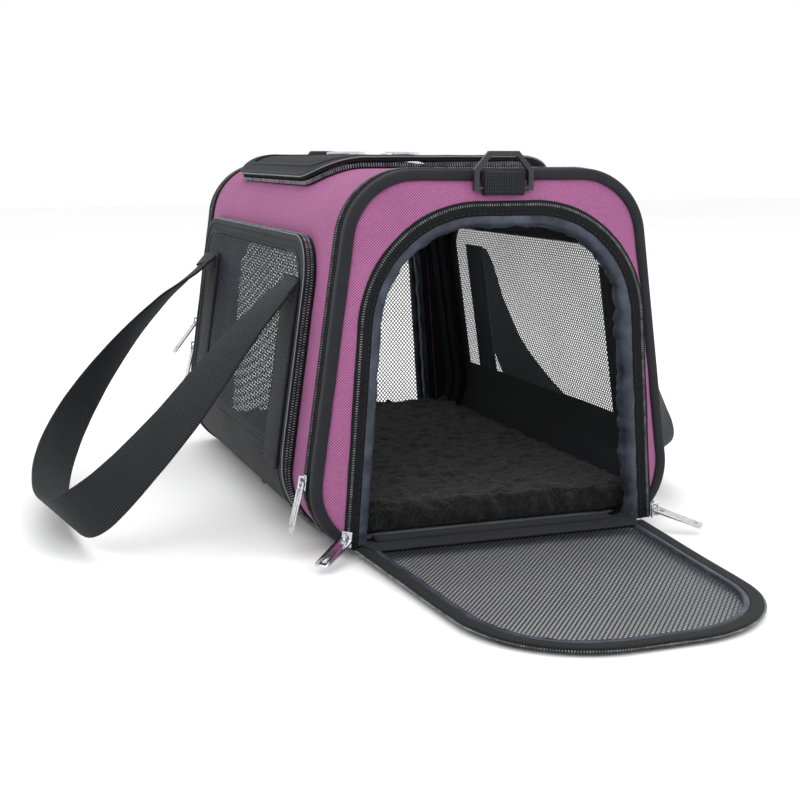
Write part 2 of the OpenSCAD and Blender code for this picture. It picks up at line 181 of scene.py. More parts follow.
def wallDistance(x, z):
    # how far a point of the end face lies outside the cross-section
    x = abs(x)
    if z > topCentre.y and x < topCentre.x:
        return z - bag["height"]
    if z < baseCentre.y and x < baseCentre.x:
        return -z
    along = Vector((-math.sin(lean), math.cos(lean)))
    p = Vector((x, z))
    reach = (p - sideStart).dot(along)
    if reach < 0:
        return (p - baseCentre).length - bag["baseRadius"]
    if reach > sideRun:
        return (p - topCentre).length - bag["topRadius"]
    return (p - sideStart).dot(sideNormal)


def roundedLoop(x0, x1, y0, y1, radius, step, openBelow=False):
    # points of a rounded rectangle; openBelow leaves out its bottom edge and bottom corners
    points = []
    corners = [(x1 - radius, y0 + radius, -90), (x1 - radius, y1 - radius, 0),
               (x0 + radius, y1 - radius, 90), (x0 + radius, y0 + radius, 180)]
    if openBelow:
        points.append((x1, y0))
        corners = corners[1:3]
    for cx, cy, start in corners:
        count = max(6, int(radius * math.pi / 2 / step))
        for k in range(count + 1):
            a = math.radians(start + 90 * k / count)
            points.append((cx + radius * math.cos(a), cy + radius * math.sin(a)))
    if openBelow:
        points.append((x0, y0))
    else:
        points.append(points[0])
    return spaced(points, step)


def spaced(points, step):
    # the same line with even steps
    points = np.array([list(p) for p in points], float)
    run = np.concatenate([[0], np.cumsum(np.linalg.norm(np.diff(points, axis=0), axis=1))])
    count = max(2, round(run[-1] / step))
    at = np.linspace(0, run[-1], count + 1)
    return np.stack([np.interp(at, run, points[:, k]) for k in range(points.shape[1])], 1)


# ---- meshes ----

def makeMesh(name, points, faces, uvs=None, smooth=True):
    mesh = bpy.data.meshes.new(name)
    mesh.from_pydata((np.array(points, float) * mm).tolist(), [], faces)
    mesh.update()
    obj = bpy.data.objects.new(name, mesh)
    bpy.context.scene.collection.objects.link(obj)
    if uvs is not None:
        layer = mesh.uv_layers.new(name="cloth")
        index = np.empty(len(mesh.loops), int)
        mesh.loops.foreach_get("vertex_index", index)
        layer.data.foreach_set("uv", (np.array(uvs, float)[index] * mm).astype(np.float32).ravel())
    mesh.polygons.foreach_set("use_smooth", [smooth] * len(mesh.polygons))
    return obj


def gridFaces(rows, columns):
    # four-sided faces between points laid down row by row
    return [(a, a + 1, a + columns + 1, a + columns)
            for row in range(rows - 1) for a in range(row * columns, (row + 1) * columns - 1)]


def pick(obj):
    bpy.ops.object.select_all(action="DESELECT")
    obj.select_set(True)
    bpy.context.view_layer.objects.active = obj


def finishWith(obj, kind, **settings):
    # adds one modifier and applies it
    pick(obj)
    modifier = obj.modifiers.new(kind.lower(), kind)
    for key, value in settings.items():
        setattr(modifier, key, value)
    bpy.ops.object.modifier_apply(modifier=modifier.name)
    return obj


def thickened(obj, thickness, offset=-1.0):
    return finishWith(obj, "SOLIDIFY", thickness=thickness * mm, offset=offset)


def subdivided(obj, levels=1):
    return finishWith(obj, "SUBSURF", levels=levels, render_levels=levels)


def resized(obj, *size):
    pick(obj)
    bpy.ops.transform.resize(value=size)
    bpy.ops.object.transform_apply(location=True, rotation=True, scale=True)
    return obj


def editMesh(obj, *steps):
    pick(obj)
    bpy.ops.object.mode_set(mode="EDIT")
    bpy.ops.mesh.select_all(action="SELECT")
    for step in steps:
        step()
    bpy.ops.object.mode_set(mode="OBJECT")
    return obj


def facingOut(obj):
    return editMesh(obj, lambda: bpy.ops.mesh.normals_make_consistent(inside=False))


def joinAll(name, parts):
    pick(parts[0])
    for part in parts:
        part.select_set(True)
    bpy.ops.object.join()
    parts[0].name = name
    return parts[0]


def sweep(name, stations, profile, closed=False, closedProfile=True, wander=0.0, seed=0.0):
    # carries a profile of (aside, out) points along stations of (point, aside, out)
    profile = [Vector(p) for p in profile]
    count, width = len(stations), len(profile)
    points, uvs = [], []
    run, around = 0.0, [0.0]
    for a, b in zip(profile, profile[1:]):
        around.append(around[-1] + (b - a).length)
    for k, (p, aside, out) in enumerate(stations):
        if k:
            run += (p - stations[k - 1][0]).length
        for j, q in enumerate(profile):
            shift = wander * noise.noise(Vector((run / 23, seed + j * 0.11, 3.1))) if wander else 0
            points.append(p + aside * (q.x + shift) + out * (q.y + shift * 0.6))
            uvs.append((run, around[j]))
    faces = []
    for k in range(count if closed else count - 1):
        nextRow = (k + 1) % count
        for j in range(width if closedProfile else width - 1):
            nextCol = (j + 1) % width
            faces.append((k * width + j, nextRow * width + j, nextRow * width + nextCol, k * width + nextCol))
    if closedProfile and not closed:
        faces.append(tuple(range(width - 1, -1, -1)))
        faces.append(tuple((count - 1) * width + j for j in range(width)))
    obj = makeMesh(name, points, faces, uvs)
    if closedProfile:
        facingOut(obj)
    return obj


def along(points, outs, closed=False):
    # stations for sweep: out is given, aside lies across the line and in the surface
    stations = []
    count = len(points)
    for k in range(count):
        before = points[k - 1] if (k or closed) else points[k]
        after = points[(k + 1) % count] if (k < count - 1 or closed) else points[k]
        way = (after - before).normalized()
        out = (outs[k] - way * outs[k].dot(way)).normalized()
        stations.append((points[k], way.cross(out), out))
    return stations


def girthStations(y, step=3.0):
    # round the cross-section at a length y; aside points to the rear
    count = round(2 * girthHalf / step)
    stations = []
    for k in range(count):
        s = -girthHalf + 2 * girthHalf * k / count
        p, n = wallAt(s)
        stations.append((Vector((p.x, y, p.y)), Vector((0, 1, 0)), Vector((n.x, 0, n.y))))
    return stations


def archStations(y, step, face, low=None):
    # round a doorway; aside points away from the opening, out is the way the face looks
    count = round(archAt(0.5, low)[2] / step)
    stations = []
    for k in range(count + 1):
        p, n = archAt(k / count, low)[:2]
        stations.append((Vector((p.x, y, p.y)), Vector((n.x, 0, n.y)), Vector((0, face, 0))))
    return stations


def ripple(obj, amount, size, seed):
    # soft unevenness of cloth: points move along their normals
    mesh = obj.data
    for v in mesh.vertices:
        spot = v.co / (size * mm) + Vector((seed, 0, 0))
        v.co += v.normal * (amount * mm * noise.fractal(spot, 0.9, 2.1, 3))
    mesh.update()


def copies(name, template, stations, scale=1.0):
    # one small model set down at every station, all in one mesh
    base = np.array([v.co for v in template.data.vertices]) / mm * scale
    sides = [tuple(f.vertices) for f in template.data.polygons]
    points, faces = [], []
    for p, aside, out in stations:
        turn = np.array([aside.cross(out), aside, out])
        start = len(points)
        points.extend((base @ turn + np.array(p)).tolist())
        faces.extend([tuple(i + start for i in f) for f in sides])
    return makeMesh(name, points, faces)


def everyStep(stations, step, shift=0.0):
    # stations at even steps along a swept line
    points = [list(p) + list(a) + list(o) for p, a, o in stations]
    line = np.array([row[:3] for row in points])
    run = np.concatenate([[0], np.cumsum(np.linalg.norm(np.diff(line, axis=0), axis=1))])
    at = np.arange(shift, run[-1], step)
    rows = np.stack([np.interp(at, run, np.array(points)[:, k]) for k in range(9)], 1)
    return [(Vector(r[:3]), Vector(r[3:6]).normalized(), Vector(r[6:]).normalized()) for r in rows]


# ---- small models that repeat ----

def toothModel():
    # one turn of a nylon zipper coil: 1.15 along the chain, 3 wide, 1.5 high
    bpy.ops.mesh.primitive_cube_add(size=mm)
    turn = resized(bpy.context.object, 1.15, 3.0, 1.5)
    return finishWith(turn, "BEVEL", width=0.35 * mm, segments=1, limit_method="NONE")


def stitchModel():
    # one thread stitch, 2.6 long
    bpy.ops.mesh.primitive_uv_sphere_add(segments=6, ring_count=4, radius=mm / 2)
    return resized(bpy.context.object, 2.6, 0.75, 0.6)


# ---- materials ----

def linear(code):
    # an sRGB hex colour in linear light
    value = [int(code[k:k + 2], 16) / 255 for k in (1, 3, 5)]
    return tuple([c / 12.92 if c <= 0.04045 else ((c + 0.055) / 1.055) ** 2.4 for c in value] + [1.0])


def addNode(mat, kind, inputs=None, **settings):
    made = mat.node_tree.nodes.new("ShaderNode" + kind)
    for key, value in settings.items():
        setattr(made, key, value)
    for key, value in (inputs or {}).items():
        if isinstance(value, bpy.types.NodeSocket):
            mat.node_tree.links.new(value, made.inputs[key])
        else:
            made.inputs[key].default_value = value
    return made


def newMaterial(name, **shaderValues):
    mat = bpy.data.materials.new(name)
    mat.use_nodes = True
    shader = mat.node_tree.nodes["Principled BSDF"]
    for key, value in shaderValues.items():
        shader.inputs[key.replace("_", " ")].default_value = value
    return mat, shader


def plug(mat, shader, socket, value):
    mat.node_tree.links.new(value, shader.inputs[socket])


def clothPlace(mat, thread=1.0, turned=0.0):
    # pattern coordinates in threads: one unit is one thread each way, its size in millimetres
    coords = addNode(mat, "TexCoord")
    return addNode(mat, "Mapping", {"Vector": coords.outputs["UV"], "Rotation": (0, 0, math.radians(turned)),
                                    "Scale": (1 / (thread * mm),) * 3}).outputs[0]


def cloudy(mat, size, detail, **more):
    # noise over the object itself, size in millimetres
    coords = addNode(mat, "TexCoord")
    return addNode(mat, "TexNoise", {"Vector": coords.outputs["Object"], "Scale": 1 / (size * mm),
                                     "Detail": detail, **more}).outputs["Fac"]


def stripes(mat, place, period, direction="X", warp=0.0):
    # a wave with one crest every period units
    return addNode(mat, "TexWave", {"Vector": place, "Scale": 0.314159 / period, "Distortion": warp,
                                    "Detail": 1.0}, bands_direction=direction).outputs["Fac"]


def twoTone(mat, fac, dark, light, low=0.25, high=0.75):
    ramp = addNode(mat, "ValToRGB", {"Fac": fac})
    ramp.color_ramp.elements[0].color = linear(dark)
    ramp.color_ramp.elements[1].color = linear(light)
    ramp.color_ramp.elements[0].position = low
    ramp.color_ramp.elements[1].position = high
    return ramp.outputs["Color"]


def blotches(mat, colour, size, strength):
    # broad uneven tint, as in worn or dyed cloth
    cloud = cloudy(mat, size, 4.0, Roughness=0.6)
    span = addNode(mat, "MapRange", {"Value": cloud, "From Min": 0.3, "From Max": 0.7,
                                     "To Min": 1 - strength, "To Max": 1 + strength})
    return addNode(mat, "HueSaturation", {"Color": colour, "Value": span.outputs["Result"]}).outputs["Color"]


def raisedBy(mat, shader, height, depth, strength=1.0):
    bump = addNode(mat, "Bump", {"Height": height, "Distance": depth * mm, "Strength": strength})
    plug(mat, shader, "Normal", bump.outputs["Normal"])


def purpleOxford():
    # plain-woven polyester Oxford: two-tone yarns, matte with a soft sheen at grazing angles
    mat, shader = newMaterial("purplePolyesterOxford", Roughness=0.8, Specular_IOR_Level=0.22,
                              Sheen_Weight=0.06, Sheen_Roughness=0.5, Sheen_Tint=linear("#c58fb4"))
    place = clothPlace(mat, 0.95)
    warp = stripes(mat, place, 1.0, "X")
    weft = stripes(mat, place, 1.0, "Y")
    weave = addNode(mat, "TexChecker", {"Vector": place, "Scale": 1.0, "Color1": linear("#ad6a97"),
                                        "Color2": linear("#713e61")})
    slub = addNode(mat, "TexNoise", {"Vector": place, "Scale": 0.35, "Detail": 2.0})
    tone = addNode(mat, "MapRange", {"Value": slub.outputs["Fac"], "To Min": 0.8, "To Max": 1.2})
    colour = addNode(mat, "HueSaturation", {"Color": weave.outputs["Color"],
                                            "Value": tone.outputs["Result"]})
    plug(mat, shader, "Base Color", blotches(mat, colour.outputs["Color"], 60, 0.06))
    height = addNode(mat, "Math", {0: warp, 1: weft}, operation="MAXIMUM")
    raisedBy(mat, shader, height.outputs[0], 0.18, 0.7)
    return mat


def twillTape(name, dark, light, rib, turned=35.0, roughness=0.75):
    # woven tape with diagonal ribs; the lighter tone on the crest of each rib is a painted highlight
    mat, shader = newMaterial(name, Roughness=roughness, Specular_IOR_Level=0.2, Sheen_Weight=0.04)
    place = clothPlace(mat, turned=turned)
    ribs = stripes(mat, place, rib, "X", warp=0.3)
    threads = stripes(mat, place, rib * 0.55, "Y")
    mix = addNode(mat, "Math", {0: ribs, 1: threads}, operation="MULTIPLY").outputs[0]
    # dark in the troughs, light on the crests: a painted highlight on every rib
    plug(mat, shader, "Base Color", blotches(mat, twoTone(mat, mix, dark, light, 0.05, 0.8), 30, 0.12))
    raisedBy(mat, shader, mix, 0.3, 0.8)
    return mat


def herringbone(name, dark, light, rib):
    # ribs that turn back on themselves every few millimetres
    mat, shader = newMaterial(name, Roughness=0.8, Specular_IOR_Level=0.15)
    split = addNode(mat, "SeparateXYZ", {"Vector": clothPlace(mat)})
    fold = addNode(mat, "Math", {0: split.outputs["Y"], 1: 2.5}, operation="PINGPONG")
    joined = addNode(mat, "CombineXYZ", {"X": split.outputs["X"], "Y": fold.outputs[0]})
    turned = addNode(mat, "Mapping", {"Vector": joined.outputs[0], "Rotation": (0, 0, math.radians(40))})
    ribs = stripes(mat, turned.outputs[0], rib, "X")
    plug(mat, shader, "Base Color", blotches(mat, twoTone(mat, ribs, dark, light, 0.1, 0.9), 25, 0.12))
    raisedBy(mat, shader, ribs, 0.3, 0.9)
    return mat


def satin():
    # loose polyester satin: smooth, with a broad soft gloss
    mat, shader = newMaterial("greyNavySatin", Roughness=0.45, Specular_IOR_Level=0.3, Sheen_Weight=0.12,
                              Sheen_Roughness=0.3, Sheen_Tint=linear("#7c8698"))
    plug(mat, shader, "Base Color", twoTone(mat, cloudy(mat, 14, 5.0), "#1b1f28", "#424957", 0.3, 0.75))
    raisedBy(mat, shader, stripes(mat, clothPlace(mat, 0.6), 1.0, "Y"), 0.05, 0.5)
    return mat


def meshYarn():
    # thick knitted polyester net
    mat, shader = newMaterial("blackPolyesterNet", Roughness=0.55, Specular_IOR_Level=0.2)
    fibre = cloudy(mat, 0.9, 2.0)
    plug(mat, shader, "Base Color", blotches(mat, twoTone(mat, fibre, "#15181e", "#31343d"), 40, 0.1))
    raisedBy(mat, shader, fibre, 0.15, 0.6)
    return mat


def fleece():
    # curly polyester fleece: soft, deep black with grey tips
    mat, shader = newMaterial("blackCurlyFleece", Roughness=0.95, Specular_IOR_Level=0.1, Sheen_Weight=0.12,
                              Sheen_Roughness=0.6)
    curl = cloudy(mat, 3.2, 6.0, Distortion=1.5)
    plug(mat, shader, "Base Color", twoTone(mat, curl, "#030304", "#16171a", 0.35, 0.75))
    raisedBy(mat, shader, curl, 2.5, 1.0)
    return mat


def nylonCoil():
    # nylon monofilament: a bright line of light on every turn; its grey colour is lightened, partly real grey
    # and partly a painted highlight on the teeth
    mat, shader = newMaterial("nylonCoil", Roughness=0.25, Specular_IOR_Level=0.5, IOR=1.53)
    plug(mat, shader, "Base Color", twoTone(mat, cloudy(mat, 6, 2.0), "#3f4146", "#86888d", 0.3, 0.7))
    return mat


def chrome():
    # bright chrome plate over zinc, lightly scuffed
    mat, shader = newMaterial("chromePlate", Metallic=1.0)
    scuff = cloudy(mat, 2.5, 6.0)
    rough = addNode(mat, "MapRange", {"Value": scuff, "To Min": 0.08, "To Max": 0.3})
    plug(mat, shader, "Roughness", rough.outputs["Result"])
    plug(mat, shader, "Base Color", twoTone(mat, scuff, "#b9bbbe", "#dcdde0", 0.3, 0.7))
    raisedBy(mat, shader, scuff, 0.03, 0.3)
    return mat


def moulded(name, dark, light, roughness, grain):
    # moulded plastic with a fine spark-eroded grain
    mat, shader = newMaterial(name, IOR=1.48)
    speck = cloudy(mat, grain, 3.0)
    plug(mat, shader, "Base Color", twoTone(mat, speck, dark, light, 0.35, 0.7))
    rough = addNode(mat, "MapRange", {"Value": speck, "To Min": roughness - 0.1, "To Max": roughness + 0.1})
    plug(mat, shader, "Roughness", rough.outputs["Result"])
    raisedBy(mat, shader, speck, 0.06, 0.5)
    return mat


def brushedSteel():
    # rolled spring steel, with a fine uneven tone
    mat, shader = newMaterial("rolledSpringSteel", Metallic=1.0, Roughness=0.35)
    plug(mat, shader, "Base Color", twoTone(mat, cloudy(mat, 1.5, 4.0), "#8d8f92", "#b6b8bb"))
    return mat


oxford = purpleOxford()
bindingTape = twillTape("charcoalTwillBinding", "#17181c", "#34363d", 1.2)
zipTape = herringbone("blackZipperTape", "#0c0d0f", "#1e1f23", 1.3)
webbing = twillTape("blackRibbedWebbing", "#0a0b0e", "#303238", 1.8, 0.0, 0.7)
ribbedTape = twillTape("blackRibbedHingeTape", "#050506", "#3a3b42", 2.2, 0.0, 0.75)
# a light grey cord whose colour stands in for the bright line along the panel edges: painted highlight
highlightCord = twillTape("greyPipingCord", "#6d7076", "#9fa2a8", 0.8, 30.0, 0.5)
# near-black cloth: real black cloth for the base and the door's fold, and painted shade on the inner faces of
# the walls and end panels
blackClothAndInnerShade = twillTape("blackPolyesterLining", "#050507", "#101114", 0.9, 45.0, 0.85)
plainTape = twillTape("blackGrosgrain", "#0c0d11", "#1f2126", 1.1, 0.0, 0.7)
stitchThread = twillTape("charcoalThread", "#24252a", "#484a51", 0.5, 30.0, 0.6)
facingSatin = satin()
netYarn = meshYarn()
fleeceCloth = fleece()
coilNylon = nylonCoil()
chromePlate = chrome()
acetal = moulded("blackAcetal", "#17181b", "#2b2c31", 0.42, 0.7)
boardPlastic = moulded("greyPolyethyleneBoard", "#54565a", "#6a6c70", 0.55, 1.6)
springSteel = brushedSteel()
print("materials", len(bpy.data.materials))


# ---- putting a piece on its body ----

def place(obj, body, slotName, material, *replaced):
    obj.data.materials.clear()
    obj.data.materials.append(material)
    if body:
        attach(obj, body)
    if replaced:
        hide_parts(*replaced)
    return obj


def bind(obj, material, *replaced, body="carrier"):
    return place(obj, body, "charcoal_binding", material, *replaced)


def teethOn(name, line, step, size):
    return copies(name, tooth, everyStep(line, step), size)


def seamOn(name, line, step, shift=0.0):
    return copies(name, stitch, everyStep(line, step, shift))


def shifted(stations, aside, out):
    # the same line moved over in its own directions
    return [(p + a * aside + o * out, a, o) for p, a, o in stations]


def mirrored(obj, axis):
    # turned over to the other side of the bag, faces still outwards
    obj.data.transform(Matrix.Scale(-1, 4, axis))
    obj.data.flip_normals()
    return obj


frontRear = (("front", -1), ("rear", 1))
across = Vector((1, 0, 0))
lengthwise = Vector((0, 1, 0))
tooth = toothModel()
stitch = stitchModel()


# ---- body: wall, base, floor ----

wallSheet = {"step": 5.0, "outer": -1.0, "wave": 0.7, "waveSize": 70}


def wallGrid(name, sLow, sHigh, step, outer):
    columns = max(4, round((sHigh - sLow) / step))
    rows = round(2 * shellHalf / step)
    points, uvs = [], []
    for j in range(rows + 1):
        y = -shellHalf + 2 * shellHalf * j / rows
        for i in range(columns + 1):
            s = sLow + (sHigh - sLow) * i / columns
            if abs(s) > girthHalf:
                s -= math.copysign(2 * girthHalf, s)
            points.append(onWall(s, y, outer))
            uvs.append((y, sLow + (sHigh - sLow) * i / columns))
    return makeMesh(name, points, [f[::-1] for f in gridFaces(rows + 1, columns + 1)], uvs)


def prism(outline, low, high, lay):
    # a cutter: an outline carried from low to high, lay puts (u, v, w) in the bag
    ring = [tuple(p) for p in outline[:-1]]
    count = len(ring)
    points = [lay(u, v, w) for w in (low, high) for u, v in ring]
    faces = [tuple(range(count)), tuple(range(2 * count - 1, count - 1, -1))]
    faces += [(k, k + count, (k + 1) % count + count, (k + 1) % count) for k in range(count)]
    return facingOut(makeMesh("cutter", points, faces))


def cutAway(obj, cutter):
    finishWith(obj, "BOOLEAN", operation="DIFFERENCE", object=cutter, solver="EXACT")
    bpy.data.objects.remove(cutter)
    return obj


def buildWall():
    sBlack = sAtHeight(bag["blackUpTo"])
    wall = wallGrid("bodyWall", sBlack, 2 * girthHalf - sBlack, wallSheet["step"], wallSheet["outer"])
    ripple(wall, wallSheet["wave"], wallSheet["waveSize"], 2.0)
    thickened(wall, bag["wall"])
    inset = sidePanel["windowIn"]
    window = roundedLoop(sidePanel["front"] + inset, sidePanel["rear"] - inset, -40,
                         sidePanel["top"] - inset, sidePanel["radius"] - inset, 4)
    for side in (-1, 1):
        cutAway(wall, prism(window, *sidePanel["cut"], lambda u, v, w: (side * w, u, v)))
    inset = topFlap["windowIn"]
    hatch = roundedLoop(-topFlap["half"] + inset, topFlap["half"] - inset, topFlap["front"] + inset,
                        topFlap["rear"] - inset, topFlap["radius"] - inset, 4)
    cutAway(wall, prism(hatch, *topFlap["cut"], lambda u, v, w: (u, v, w)))
    place(wall, "carrier", "purple_oxford", oxford, "body_shell")
    # inner faces and cut edges take the near-black cloth as painted shade for the dark inside; the ceiling
    # keeps the purple
    wall.data.materials.append(blackClothAndInnerShade)
    for f in wall.data.polygons:
        c = f.center / mm
        deep = wallDistance(c.x, c.z) < -bag["wall"] * 0.7
        edge = wallDistance(c.x + f.normal.x, c.z + f.normal.z) < wallDistance(c.x, c.z) + 0.3
        f.material_index = 1 if (deep or edge) and (c.z < 236 or abs(c.x) > 60) else 0


def buildBase():
    sBlack = sAtHeight(bag["blackUpTo"])
    base = wallGrid("baseCloth", -sBlack, sBlack, wallSheet["step"], -0.4)
    thickened(base, bag["wall"])
    place(base, "carrier", "black_base_cloth", blackClothAndInnerShade, "base_panel")


fleecePad = {"half": 124, "length": 196, "low": 9.0, "top": 30.0, "roll": 9, "step": 2.6,
             "crown": 1.5, "curl": 3.2, "curlSize": 9.0}


def buildFleece():
    # a flat pad with a rolled edge, then curls pushed out of its whole surface
    f = fleecePad
    bpy.ops.mesh.primitive_cube_add(size=mm, location=(0, 0, (f["low"] + f["top"]) / 2 * mm))
    pad = resized(bpy.context.object, 2 * f["half"], 2 * f["length"], f["top"] - f["low"])
    pad.name = "fleecePad"
    finishWith(pad, "BEVEL", width=f["roll"] * mm, segments=5)
    finishWith(pad, "REMESH", mode="VOXEL", voxel_size=f["step"] * mm)
    for v in pad.data.vertices:
        p = v.co / mm
        if p.z > f["low"] + 3:
            far = max(abs(p.x) / f["half"], abs(p.y) / f["length"])
            clump = noise.noise(p / f["curlSize"]) + 0.6 * noise.noise(p / (f["curlSize"] * 0.45))
            lift = f["crown"] * (1 - far ** 3) + f["curl"] * clump
            v.co += v.normal * lift * mm
    pad.data.update()
    pad.data.polygons.foreach_set("use_smooth", [True] * len(pad.data.polygons))
    place(pad, "carrier", "black_fleece", fleeceCloth, "fleece_pad")


buildWall()
buildBase()
buildFleece()
print("body done")


# ---- ends: panels, bindings, zippers ----

bindingRing = {"round": 2.6, "wander": 0.5, "step": 3.0}


def roundedProfile(a0, a1, b0, b1, r, steps=3):
    # a closed rounded rectangle in (aside, out)
    points = []
    for ca, cb, start in ((a1 - r, b1 - r, 0), (a0 + r, b1 - r, 90),
                          (a0 + r, b0 + r, 180), (a1 - r, b0 + r, 270)):
        for k in range(steps + 1):
            t = math.radians(start + 90 * k / steps)
            points.append((ca + r * math.cos(t), cb + r * math.sin(t)))
    return points


def slabProfile(width, thick, r, steps=3):
    return roundedProfile(-width / 2, width / 2, -thick / 2, thick / 2, r, steps)


def buildBinding(end, face):
    y = face * (halfLength - bag["bindingDepth"] / 2)
    half = bag["bindingDepth"] / 2
    ring = sweep(end + "Binding", girthStations(y, bindingRing["step"]),
                 roundedProfile(-half, half, -bag["bindingWidth"], 0, bindingRing["round"]), closed=True,
                 wander=bindingRing["wander"], seed=face * 4.0)
    bind(ring, bindingTape, end + "_binding")


rimZip = {"toothStep": 1.7, "toothIn": 1.6, "toothSize": 0.6, "seamOut": 2.6, "seamStep": 3.8}


def buildRimZipper(end, face):
    y = face * (shellHalf + bag["rimZipDepth"] / 2)
    half = bag["rimZipDepth"] / 2 + 0.5
    # from over the edge of the wall, where the teeth lie, down to the binding
    lines = [(half + 1.2, -0.6), (half + 1.2, 0.3), (half - 1.5, 0.45), (0.5, 0.1), (-1.5, -0.6),
             (-half, -0.8), (-half, -4), (half, -4)]
    tape = sweep(end + "RimTape", girthStations(y, 4.0), [(-face * a, b) for a, b in lines], closed=True,
                 wander=0.2, seed=9.0 + face)
    place(tape, "carrier", "zip_tape", zipTape, end + "_rim_zipper")
    line = shifted(girthStations(y - face * rimZip["toothIn"]), 0, 0.55)
    teeth = teethOn(end + "RimTeeth", line + line[:1], rimZip["toothStep"], rimZip["toothSize"])
    place(teeth, "carrier", "zip_coil", coilNylon)
    line = shifted(girthStations(y + face * rimZip["seamOut"]), 0, -0.6)
    bind(seamOn(end + "RimSeam", line + line[:1], rimZip["seamStep"]), stitchThread)


frontCloth = {"rows": 12, "start": 1.5, "under": 1.5, "rim": 215.2, "edge": 209.6, "wave": 0.6,
              "waveSize": 45, "thick": 3.0}


def buildEndPanel(end, face):
    stations = archStations(0, 3.2, face)
    rows = frontCloth["rows"]
    points, uvs = [], []
    for p, aside, _ in stations:
        # halving finds how far the cloth runs before it goes under the binding
        low, high = 0.0, 150.0
        for k in range(24):
            middle = (low + high) / 2
            q = p + aside * middle
            if wallDistance(q.x, q.z) > -bag["bindingWidth"] + frontCloth["under"]:
                high = middle
            else:
                low = middle
        width = max(low, frontCloth["start"] + 1.0)
        for k in range(rows + 1):
            u = k / rows
            r = frontCloth["start"] + (width - frontCloth["start"]) * u
            drop = (frontCloth["rim"] - frontCloth["edge"]) * u ** 1.7
            q = p + aside * r
            points.append((q.x, face * (frontCloth["rim"] - drop), q.z))
            uvs.append((q.x, q.z))
    faces = [f[::-face] for f in gridFaces(len(stations), rows + 1)]
    panel = makeMesh(end + "Panel", points, faces, uvs)
    outward = panel.data.polygons[len(faces) // 2].normal.y * face
    if outward < 0:
        panel.data.flip_normals()
    ripple(panel, frontCloth["wave"], frontCloth["waveSize"], 5.0 * face)
    thickened(panel, frontCloth["thick"])
    place(panel, "carrier", "purple_oxford", oxford, end + "_panel")
    # inner faces take the near-black cloth: painted shade inside the bag
    panel.data.materials.append(blackClothAndInnerShade)
    for f in panel.data.polygons:
        f.material_index = 1 if f.normal.y * face < -0.2 else 0


archZip = {"tapeIn": -6.0, "tapeOut": 4.4, "toothAt": 1.6, "toothStep": 1.7, "toothSize": 0.6,
           "tapeDepth": 0.9, "seamStep": 4.2}


def buildArchZipper(end, face):
    depth = archZip["tapeDepth"]
    stations = archStations(face * doorway["lip"], 3.0, face)
    tape = sweep(end + "ArchTape", stations,
                 [(archZip["tapeIn"], 0.2), (archZip["tapeIn"], depth), (0, depth + 0.3),
                  (archZip["tapeOut"], depth - 0.3), (archZip["tapeOut"], -0.4)],
                 wander=0.3, seed=20 + face)
    place(tape, "carrier", "zip_tape", zipTape, end + "_arch_tape")
    line = shifted(stations, archZip["toothAt"], depth + 0.6)
    teeth = teethOn(end + "ArchTeeth", line, archZip["toothStep"], archZip["toothSize"])
    place(teeth, "carrier", "zip_coil", coilNylon, end + "_arch_chain")
    line = shifted(stations, archZip["tapeIn"] + 1.8, depth + 0.1)
    bind(seamOn(end + "ArchSeam", line, archZip["seamStep"]), stitchThread)


def buildFacing(end, face):
    # a loose satin band that rolls back into the doorway, creased along its length
    start = archZip["tapeIn"] + 1.0
    stations = archStations(face * (doorway["lip"] - 0.5), 2.0, face)
    profile = [(start, 0.4), (start - 2, 1.2), (start - 4.2, 1.3), (start - 6.4, 0.5), (start - 8, -1.4),
               (start - 8.8, -4.2), (start - 9, -7.4), (start - 8.4, -10.4)]
    band = sweep(end + "Facing", stations, profile, closedProfile=False)
    for v in band.data.vertices:
        row, column = divmod(v.index, len(profile))
        loose = column / (len(profile) - 1)
        crease = noise.noise(Vector((row * 0.16, column * 0.22, face * 3))) \
            + 0.8 * noise.noise(Vector((row * 0.5, column * 0.3, 7 + face)))
        aside, out = stations[row][1:]
        v.co += (aside * (2.2 * loose * crease) + out * (1.3 * crease * (0.3 + loose))) * mm
    thickened(subdivided(band), 0.5, 0.0)
    place(band, "carrier", "satin_facing", facingSatin, end + "_facing")


for end, face in frontRear:
    buildBinding(end, face)
    buildRimZipper(end, face)
    buildEndPanel(end, face)
    buildArchZipper(end, face)
    buildFacing(end, face)
print("ends done")


# ---- sills and doors ----

sillStrip = {"half": 92, "stripHalf": 110}


def buildSill(end, face):
    # binding across the threshold
    xs = np.linspace(-sillStrip["half"], sillStrip["half"], 60)
    middle = (doorway["lip"] + halfLength - bag["bindingDepth"]) / 2
    depth = doorway["lip"] - halfLength + bag["bindingDepth"]
    stations = [(Vector((x, face * middle, doorway["sill"] + 1.6)), lengthwise * face, Vector((0, 0, 1)))
                for x in xs]
    bar = sweep(end + "Sill", stations, slabProfile(depth, 3.4, 1.4, 2), wander=0.5, seed=31 + face)
    place(bar, "carrier", "black_webbing", bindingTape, *(["door_sills"] if face < 0 else []))


